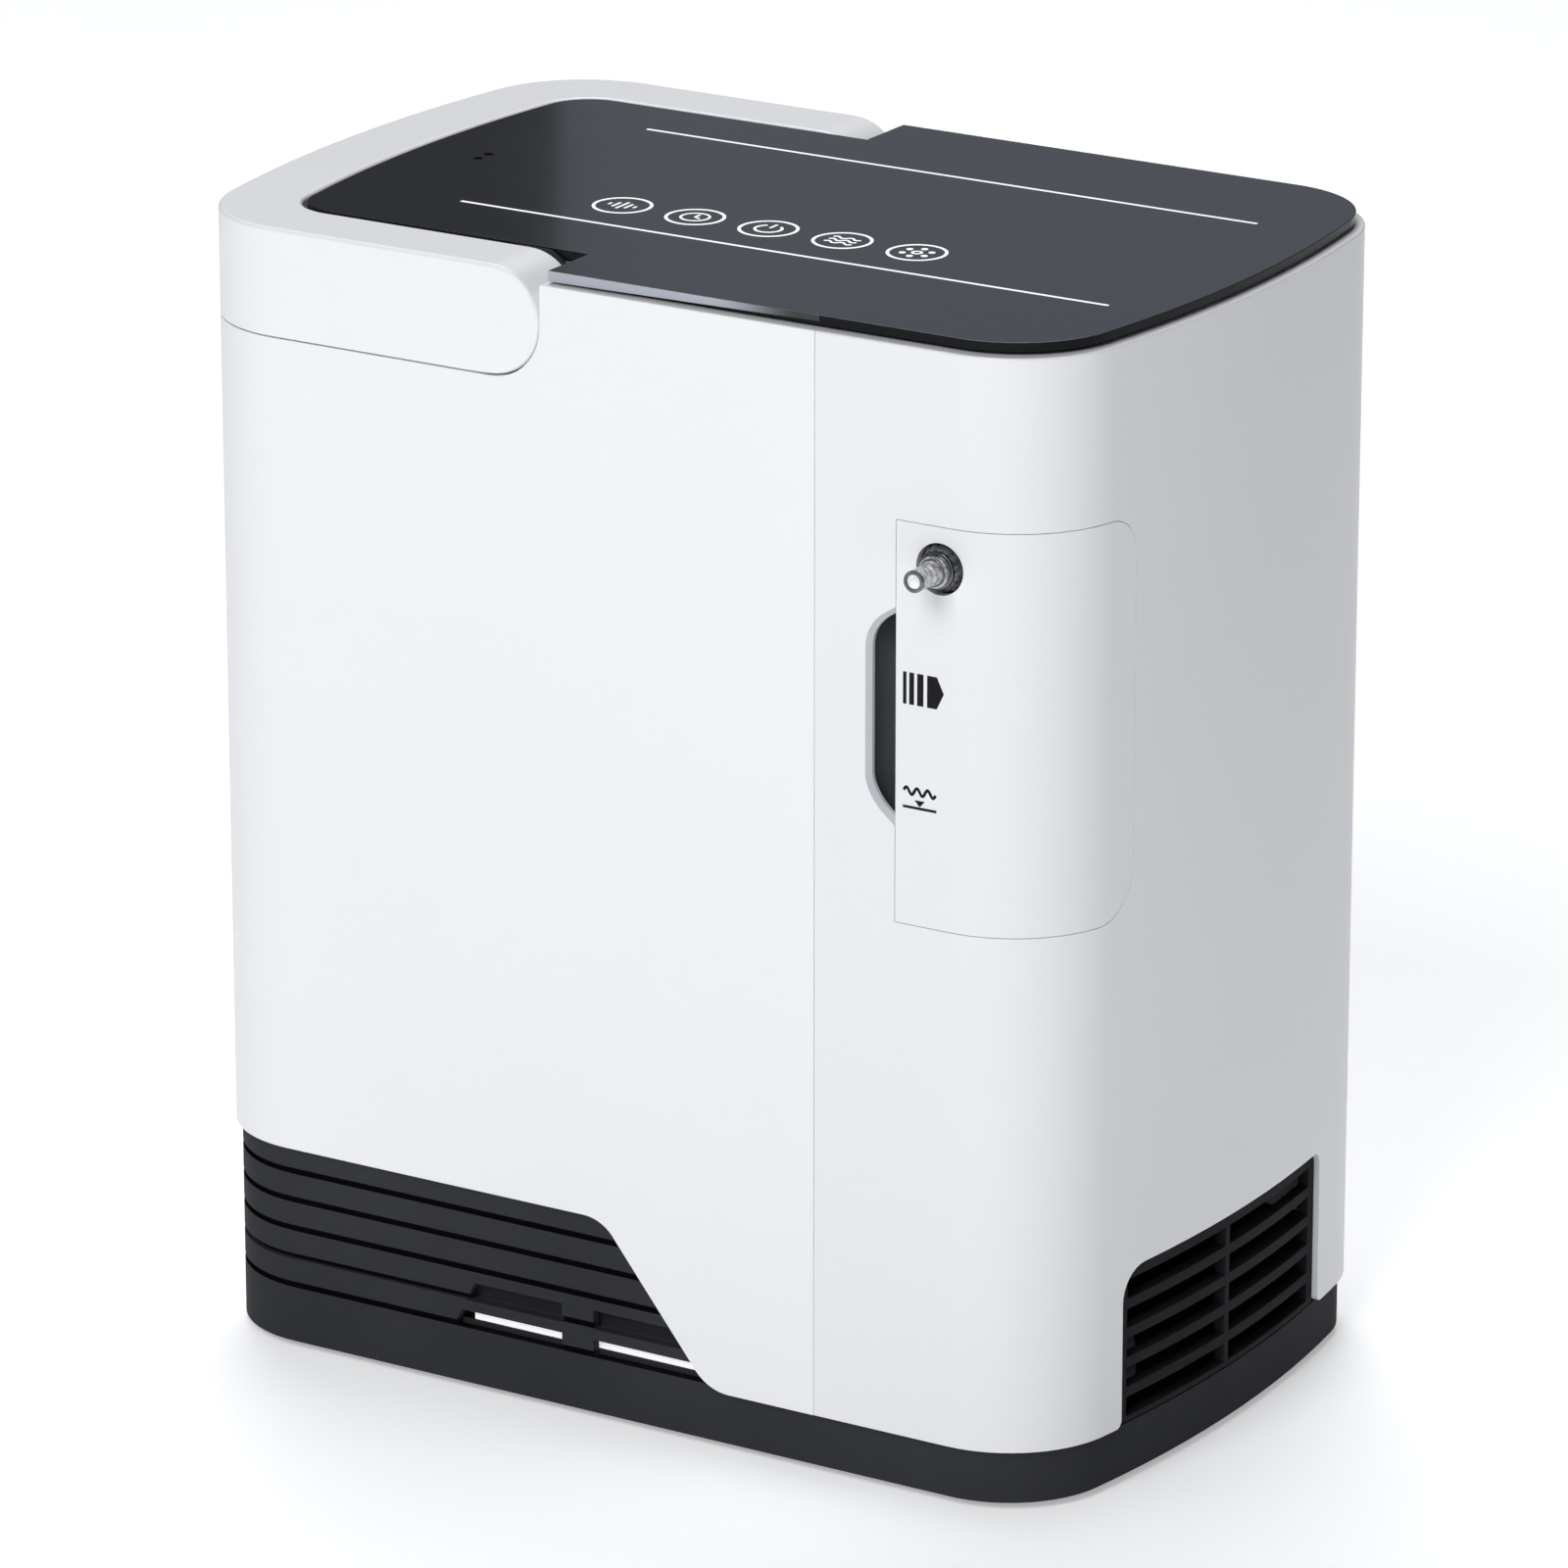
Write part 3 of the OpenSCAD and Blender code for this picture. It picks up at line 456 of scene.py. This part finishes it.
def tray_weight(middle, edge):
    """The ribs of the base have rounder edges than the rest of it."""
    above = middle.z / MM - RIB_START
    step = above % RIB_PITCH
    rib = -0.2 < above < 44 and min(step, RIB_PITCH - step, abs(step - GROOVE_WIDTH)) < 0.1
    return 1.0 if rib else 0.35


def is_cover_edge(face):
    """True for the faces of the cover that look at the opening round it."""
    if face.normal.x < -0.95 or abs(face.normal.z) > 0.3:
        return True
    return near(face.calc_center_median().y, COVER_HI.y, 0.0008) and face.normal.y > 0.9


def close_gap(bm):
    """Draws the cover's edge 0.18 mm nearer to the opening round it."""
    moves = {}
    for face in bm.faces:
        face.normal_update()
    for vert in bm.verts:
        if (vert.co - Vector((NOZZLE_X, vert.co.y, NOZZLE_Z))).length < 0.0095:
            continue
        seen = []
        for face in vert.link_faces:
            if is_cover_edge(face) and not any((face.normal - other).length < 0.2 for other in seen):
                seen.append(face.normal.copy())
        moves[vert] = sum(seen, Vector()) * COVER_DRAW
    for vert, move in moves.items():
        vert.co += move


refined("shell_left", M["white"], 0.0022, shell_weight, 4, reshape=(narrow_seam,), merge=1e-4)
# The right shell takes the darker white, a painted shade
right_piece = refined("shell_right", M["white_painted_shade"], 0.0022, shell_weight, 4,
                      reshape=(narrow_seam, soften_openings), merge=1e-4)
# The recess's rim faces take the grey, a painted shade
right_piece.data.materials.append(M["lip"])
# The handle takes the lighter white, a painted light
refined("handle", M["handle"], 0.0014, handle_weight, 4, reshape=(lower_arms,), merge=1.5e-4)
# The cover takes the darker white, a painted shade
refined("cup_cover", M["white_painted_shade"], 0.0002, None, 2, reshape=(close_gap,))
glass_piece = refined("top_glass", M["glass"], 0.0003, None, 2)
# The glass's side faces take the darker copy, a painted shade
glass_piece.data.materials.append(M["glass_edge"])
for face in glass_piece.data.polygons:
    if abs(face.normal.z) < 0.5:
        face.material_index = 1
tray_piece = refined("base_tray", M["black"], 0.0011, tray_weight, 3)
# Faces inside the base's grooves get the near-black, a painted shade that darkens them
tray_piece.data.materials.append(M["groove"])
for face in tray_piece.data.polygons:
    height = face.center.z / MM
    step = (height - RIB_START) % RIB_PITCH
    groove_shade_face = 21.3 < height < 63 and -0.05 < step < GROOVE_WIDTH + 0.05
    if groove_shade_face and not near(face.center.y, BODY_LO.y + 0.002):
        face.material_index = 1
# The side grille takes the darker black, a painted shade
refined("side_grille", M["grille"], 0.0005, None, 2)
refined("filter_door", M["white"], 0.0005, None, 2)
refined("power_inlet", M["black"], 0.0004, None, 2)
refined("breaker_body", M["black"], 0.0004, None, 3)
refined("reset_button", M["red"], 0.0006, None, 3)
refined("rubber_feet", M["rubber"], 0.0006, None, 2)
refined("cup_bottle", M["clear"], 0.0005, None, 3)
refined("cup_lid", M["clear"], 0.0002, None, 2)
refined("bay_liner", M["dark"], 0.0005, None, 2)


# ---------------------------------------------------------------- added detail
def prism_x(name, profiles, start, stop, material, body):
    """Closed YZ outlines in millimetres, carried along X from start to stop."""
    bm = bmesh.new()
    for profile in profiles:
        near_end = [bm.verts.new((start * MM, MID_Y + y * MM, z * MM)) for y, z in profile]
        far_end = [bm.verts.new((stop * MM, MID_Y + y * MM, z * MM)) for y, z in profile]
        count = len(profile)
        bm.faces.new(near_end)
        bm.faces.new(far_end[::-1])
        for i in range(count):
            bm.faces.new([near_end[i], far_end[i], far_end[(i + 1) % count], near_end[(i + 1) % count]])
    bmesh.ops.recalc_face_normals(bm, faces=bm.faces)
    link(name, mesh_of(bm, name), material, body)


def mirrored(profile):
    return [profile, [(-y, z) for y, z in profile][::-1]]


# Dark strips behind the base's lower slots, a painted shade put where the inside of the base is in shade
VENT_X0, VENT_X1 = -60, 44
BAFFLE = [(102.4, 28.9), (102.4, 30.2), (101.3, 30.9), (101.3, 47), (100.5, 47), (100.5, 28.9)]
SILL = [(102.65, 14), (103.2, 14), (103.2, 23.1), (102.65, 23.1)]
prism_x("vent_shade_baffles", mirrored(BAFFLE), VENT_X0, VENT_X1, M["black"], "cabinet")
prism_x("vent_shade_sills", mirrored(SILL), VENT_X0, VENT_X1, M["black"], "cabinet")


def lathe(name, profile, material, body, flute=None, segments=96, closed=False):
    """Turned shape on the outlet's axis: (distance out of the front plane, radius) in millimetres."""
    bm = bmesh.new()
    rings = []
    for out, radius in profile:
        ring = []
        for i in range(segments):
            turn = 2 * math.pi * i / segments
            r = radius + (flute(out, turn) if flute else 0)
            ring.append(bm.verts.new((NOZZLE_X + r * MM * math.cos(turn), BODY_LO.y - out * MM,
                                      NOZZLE_Z + r * MM * math.sin(turn))))
        rings.append(ring)
    pairs = list(zip(rings, rings[1:])) + ([(rings[-1], rings[0])] if closed else [])
    for a, b in pairs:
        for i in range(segments):
            bm.faces.new([a[i], a[(i + 1) % segments], b[(i + 1) % segments], b[i]])
    bmesh.ops.recalc_face_normals(bm, faces=bm.faces)
    for face in bm.faces:
        face.smooth = True
    obj = link(name, mesh_of(bm, name), material, body)
    split_sharp(obj)
    return obj


TIP = (BODY_LO.y - NOZZLE_LO.y) / MM
outlet = lathe("outlet_spigot", [
    (TIP - 0.9, 3.35), (TIP - 1.3, 3.5), (TIP - 2.4, 3.5), (TIP - 2.55, 3.3), (TIP - 2.8, 3.3),
    (TIP - 2.95, 3.5), (TIP - 4.6, 3.5), (TIP - 4.75, 3.3), (TIP - 5.0, 3.3), (TIP - 5.15, 3.5),
    (TIP - 6.9, 3.5), (TIP - 7.05, 3.3), (TIP - 7.3, 3.3), (TIP - 7.45, 3.5), (5.3, 3.55), (4.9, 3.9),
    (-3.0, 3.9), (-3.0, 2.15), (TIP - 0.9, 2.15)],
    M["frost"], "humidifier", closed=True)
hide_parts("outlet_nozzle")
lathe("outlet_lip", [
    (TIP - 0.3, 2.15), (TIP - 0.05, 2.3), (TIP, 2.55), (TIP, 3.1), (TIP - 0.1, 3.38), (TIP - 0.35, 3.5),
    (TIP - 0.85, 3.5), (TIP - 0.85, 2.15)], M["smoke"], "humidifier", closed=True)
# The bore sleeve carries the glowing white, a painted light
lathe("outlet_bore_sleeve", [(TIP - 0.35, 2.14), (TIP - 0.35, 1.98), (-2.6, 1.98), (-2.6, 2.14)], M["bore"],
      "humidifier", closed=True, segments=48)
COLLARS = [
    ("outlet_collar_a", 4.7, 4.4, "smoke"),
    ("outlet_collar_b", 3.9, 5.0, "frost"),
    ("outlet_collar_c", 2.9, 5.3, "smoke"),
    ("outlet_collar_d", 1.9, 5.8, "cone"),
]
for ring_name, first, radius, look in COLLARS:
    lathe(ring_name, [
        (first, radius - 0.6), (first, radius - 0.2), (first - 0.15, radius), (first - 0.55, radius),
        (first - 0.75, radius - 0.15), (-2.9, radius - 0.2), (-2.9, 3.95), (first, 3.95)],
        M[look], "humidifier", closed=True)


def cone_flutes(out, turn):
    depth = 0.42 * min(1.0, max(0.0, (1.6 - out) / 2.0))
    return depth * (math.cos(19 * turn) * 0.6 + math.cos(8 * turn + 1.3) * 0.4)


lathe("outlet_fluted_cup", [
    (1.0, 5.85), (1.1, 6.05), (0.6, 6.35), (-0.4, 6.8), (-1.4, 7.2), (-2.2, 7.45), (-2.9, 7.6),
    (-3.4, 7.6), (-3.4, 5.85)],
    M["cone"], "humidifier", flute=cone_flutes, segments=312, closed=True)


def finger_pocket():
    """Grey scoop behind the finger recess, 0.8 mm thick and open towards the cup."""
    path = [(93.4, 3.2), (93.7, 6), (94.6, 10), (96.4, 13.5), (99.2, 16.6), (103, 18.8), (108, 19.8),
            (116.2, 20)]
    outline = path + [(116.2, 3.2)]
    low, high = 220.2, 290.0
    bm = bmesh.new()
    lower = [bm.verts.new((x * MM, BODY_LO.y + y * MM, low * MM)) for x, y in outline]
    upper = [bm.verts.new((x * MM, BODY_LO.y + y * MM, high * MM)) for x, y in outline]
    for i in range(len(path) - 1):
        bm.faces.new([lower[i], lower[i + 1], upper[i + 1], upper[i]])
    bm.faces.new(lower)
    bm.faces.new(upper[::-1])
    bmesh.ops.recalc_face_normals(bm, faces=bm.faces)
    for face in bm.faces:
        face.smooth = len(face.verts) == 4
    mesh = mesh_of(bm, "finger_pocket")
    obj = link("finger_pocket", mesh, M["pocket"], "cabinet")
    wall = obj.modifiers.new("wall", "SOLIDIFY")
    wall.thickness = 0.8 * MM
    wall.offset = 1.0
    wall.use_even_offset = True
    split_sharp(obj)


finger_pocket()


# ---------------------------------------------------------------- printed marks
def strip(points, width, closed=False):
    """Quads along a line of 2D points, width wide, with mitred corners."""
    points = [Vector(p) for p in points]
    count = len(points)
    sides = []
    for i, here in enumerate(points):
        before = points[i - 1] if closed or i > 0 else here
        after = points[(i + 1) % count] if closed or i < count - 1 else here
        a, b = (here - before), (after - here)
        a = a.normalized() if a.length > 0 else b.normalized()
        b = b.normalized() if b.length > 0 else a
        out = (Vector((-a.y, a.x)) + Vector((-b.y, b.x))).normalized()
        reach = width / 2 / max(0.4, out.dot(Vector((-a.y, a.x))))
        sides.append((here + out * reach, here - out * reach))
    turns = count if closed else count - 1
    return [[sides[i][0], sides[(i + 1) % count][0], sides[(i + 1) % count][1], sides[i][1]]
            for i in range(turns)]


def arc2d(centre, radius, start, stop, count=24):
    """Points along an arc, angles in degrees."""
    return [(centre[0] + radius * math.cos(math.radians(start + (stop - start) * i / count)),
             centre[1] + radius * math.sin(math.radians(start + (stop - start) * i / count)))
            for i in range(count + 1)]


def ring2d(centre, radius, width, count=72):
    return strip(arc2d(centre, radius, 0, 360 * (count - 1) / count, count - 1), width, True)


def ink(name, polygons, place, lift, material, body):
    """Thin raised print: 2D polygons in millimetres, put on the object by place(u, v, height)."""
    bm = bmesh.new()
    for polygon in polygons:
        low = [bm.verts.new(place(p[0] * MM, p[1] * MM, 0.00001)) for p in polygon]
        high = [bm.verts.new(place(p[0] * MM, p[1] * MM, lift)) for p in polygon]
        count = len(polygon)
        bm.faces.new(high)
        bm.faces.new(low[::-1])
        for i in range(count):
            bm.faces.new([low[i], low[(i + 1) % count], high[(i + 1) % count], high[i]])
    bmesh.ops.remove_doubles(bm, verts=bm.verts, dist=1e-6)
    inner = [e for e in bm.edges if len(e.link_faces) > 2]
    outward = place(0, 0, 1) - place(0, 0, 0)
    walls = {f for e in inner for f in e.link_faces if abs(f.normal.dot(outward)) < 0.5}
    bmesh.ops.delete(bm, geom=list(walls), context="FACES")
    bmesh.ops.recalc_face_normals(bm, faces=bm.faces)
    link(name, mesh_of(bm, name), material, body)


def on_glass(u, v, height):
    return Vector((u, MID_Y + v, GLASS_HI.z + height))


def on_cover(u, v, height):
    return Vector((u, BODY_LO.y - height, v))


def on_glass_edge(u, v, height):
    return Vector((u, GLASS_LO.y - height, v))


PRINT_LIFT = 0.00006
RING_Y, RING_X0, RING_PITCH, RING_R, STROKE = -28.3, -44.8, 27.0, 9.2, 1.05
EDGE_X0, EDGE_STEPS = -22.1, 12
EDGE_Z0, EDGE_Z1, EDGE_RISE = GLASS_LO.z / MM - 0.5, GLASS_HI.z / MM - 0.05, 0.13


def edge_strip():
    """Quads along the glass's front edge, whose lower side rises towards the seam; they carry a painted
    reflection.
    """
    pitch = SEAM_X / MM - EDGE_X0
    quads = []
    for k in range(EDGE_STEPS):
        corners = ((k, EDGE_Z0 + k * EDGE_RISE), (k + 1, EDGE_Z0 + (k + 1) * EDGE_RISE),
                   (k + 1, EDGE_Z1), (k, EDGE_Z1))
        quads.append([(EDGE_X0 + pitch * a / EDGE_STEPS, z) for a, z in corners])
    return quads


# A thin strip on the glass's front edge with a painted reflection, light grey fading to dark towards the
# seam
ink("painted_reflection_strip", edge_strip(), on_glass_edge, 0.0002, M["edge_reflection"], "cabinet")
ink("sensor_dots", [arc2d((-116, y), 1.6, 0, 345, 23) for y in (-3, 3)],
    on_glass, 0.00005, M["pit"], "cabinet")
ink("glass_lines", strip([(-90, 57), (136, 57)], 1.3) + strip([(-91, -50.5), (144, -50.5)], 1.3),
    on_glass, PRINT_LIFT, M["glowing_print"], "cabinet")
RINGS = [ring2d((RING_X0 + i * RING_PITCH, RING_Y), RING_R, STROKE) for i in range(5)]
ink("button_rings", [quad for ring in RINGS for quad in ring],
    on_glass, PRINT_LIFT, M["glowing_print"], "cabinet")


def button_icons():
    """Plain pictograms: sound, clock, power, air flow and ions."""
    shapes = []
    x = RING_X0
    for step, half in enumerate((1.0, 2.6, 4.0, 2.6, 1.0)):
        u = x + (step - 2) * 2.3
        shapes += strip([(u, RING_Y - half), (u, RING_Y + half)], 0.9)
    x += RING_PITCH
    shapes += ring2d((x, RING_Y), 4.6, 0.8, 48)
    shapes += strip([(x, RING_Y + 2.9), (x, RING_Y), (x + 2.3, RING_Y - 1.2)], 0.8)
    x += RING_PITCH
    shapes += strip(arc2d((x, RING_Y), 4.3, 125, 415, 40), 0.9)
    shapes += strip([(x, RING_Y + 0.9), (x, RING_Y + 5.4)], 0.9)
    x += RING_PITCH
    for row in (-2.9, 0, 2.9):
        shapes += strip([(x - 5 + 10 * k / 20, RING_Y + row + 0.8 * math.sin(4 * math.pi * k / 20))
                         for k in range(21)], 0.8)
    x += RING_PITCH
    shapes += ring2d((x, RING_Y), 1.5, 0.8, 30)
    for k in range(6):
        spot = math.radians(60 * k + 30)
        shapes += ring2d((x + 4.6 * math.cos(spot), RING_Y + 4.6 * math.sin(spot)), 0.65, 0.9, 18)
    return shapes


ink("button_icons", button_icons(), on_glass, PRINT_LIFT, M["glowing_print"], "cabinet")
ARROW_Z = (260.0, 270.2)
arrow = [strip([(u + w / 2, ARROW_Z[0]), (u + w / 2, ARROW_Z[1])], w)[0]
         for u, w in ((107.0, 1.2), (109.2, 1.7), (112.0, 2.2))]
arrow.append([(115.5, ARROW_Z[0]), (118.9, ARROW_Z[0]), (121.4, sum(ARROW_Z) / 2),
              (118.9, ARROW_Z[1]), (115.5, ARROW_Z[1])])
ink("cover_arrow", arrow, on_cover, PRINT_LIFT, M["mark_black"], "humidifier")
LEVEL_Z = 227.2
level = strip([(107.1, LEVEL_Z), (119.0, LEVEL_Z)], 0.85)
level.append([(113.05, LEVEL_Z + 0.5), (114.9, LEVEL_Z + 2.5), (111.2, LEVEL_Z + 2.5)])
wave = [(107.4 + 11.3 * k / 36, LEVEL_Z + 5.2 + 1.1 * math.sin(6 * math.pi * k / 36))
        for k in range(37)]
level += strip(wave, 0.95)
ink("cover_level_mark", level, on_cover, PRINT_LIFT, M["mark_black"], "humidifier")

# ---------------------------------------------------------------- camera
CAM_AZ, CAM_EL = math.radians(31.684), math.radians(18.428)
camera_data = bpy.data.cameras.new("camera")
camera_data.lens = 212.55
camera_data.sensor_width = 36.0
camera_data.clip_end = 60.0
camera = bpy.data.objects.new("camera", camera_data)
SCENE.collection.objects.link(camera)
camera.location = (1.4805, -2.3978, 1.12495)
toward = Vector((-math.sin(CAM_AZ) * math.cos(CAM_EL), math.cos(CAM_AZ) * math.cos(CAM_EL),
                 -math.sin(CAM_EL)))
camera.rotation_mode = "QUATERNION"
camera.rotation_quaternion = toward.to_track_quat("-Z", "Y")
SCENE.camera = camera


# ---------------------------------------------------------------- floor and light
def area_light(name, place, target, size, power, colour):
    data = bpy.data.lights.new(name, "AREA")
    data.shape = "RECTANGLE"
    data.size, data.size_y = size
    data.energy = power
    data.color = colour
    lamp = bpy.data.objects.new(name, data)
    SCENE.collection.objects.link(lamp)
    lamp.location = place
    lamp.rotation_mode = "QUATERNION"
    lamp.rotation_quaternion = (Vector(target) - Vector(place)).to_track_quat("-Z", "Y")


LAMP_REACH = 3.5
LAMP_TARGET = (0, 0, 0.2)
NEUTRAL = (0.985, 0.99, 1.0)
BLUISH = (0.76, 0.855, 1.0)
# Name, azimuth from -Y towards +X, elevation, size in metres, power in watts, colour. The last one
# stands where the glass mirrors it into the camera's own view.
LAMPS = [
    ("key_front", 6, 40, (1.6, 1.6), 61.0, NEUTRAL),
    ("fill_right", 25, 24, (1.6, 1.6), 18.0, NEUTRAL),
    ("side_left", -90, 60, (1.6, 1.6), 2.5, NEUTRAL),
    ("rear_left", -135, 60, (1.6, 1.6), 15.0, NEUTRAL),
    ("rear", 205, 60, (2.0, 2.0), 60.0, NEUTRAL),
    ("glass_sheen", 208.35, 18.4, (0.7, 1.1), 0.415, BLUISH),
]
floor_mesh = bpy.data.meshes.new("floor")
REACH = 20.0
CORNERS = [(-REACH, -REACH, 0), (REACH, -REACH, 0), (REACH, REACH, 0), (-REACH, REACH, 0)]
floor_mesh.from_pydata(CORNERS, [], [(0, 1, 2, 3)])
floor = bpy.data.objects.new("floor", floor_mesh)
floor.location.z = -0.0002
SCENE.collection.objects.link(floor)
floor_mat, f_nodes, f_links, f_shader = new_material("pale_floor")
f_coords = f_nodes.new("ShaderNodeTexCoord").outputs["Object"]
f_noise = noise_node(f_nodes, f_links, f_coords, 3.0)
f_links.new(spread(f_nodes, f_links, f_noise, 0.55, 0.65), f_shader.inputs["Roughness"])
f_shader.inputs["Base Color"].default_value = (0.92, 0.92, 0.92, 1)
f_shader.inputs["Emission Color"].default_value = (0.98, 0.99, 1.0, 1)
f_shader.inputs["Emission Strength"].default_value = 0.37
floor_mesh.materials.append(floor_mat)

world = bpy.data.worlds.new("studio")
world.use_nodes = True
world.node_tree.nodes["Background"].inputs[0].default_value = (0.96, 0.97, 1.0, 1)
world.node_tree.nodes["Background"].inputs[1].default_value = 0.03
SCENE.world = world
SCENE.view_settings.view_transform = "Standard"
SCENE.view_settings.look = "None"

for lamp_name, azimuth, elevation, size, power, colour in LAMPS:
    a, e = math.radians(azimuth), math.radians(elevation)
    spot = Vector((math.sin(a) * math.cos(e), -math.cos(a) * math.cos(e), math.sin(e))) * LAMP_REACH
    area_light(lamp_name, spot + Vector(LAMP_TARGET), LAMP_TARGET, size, power, colour)
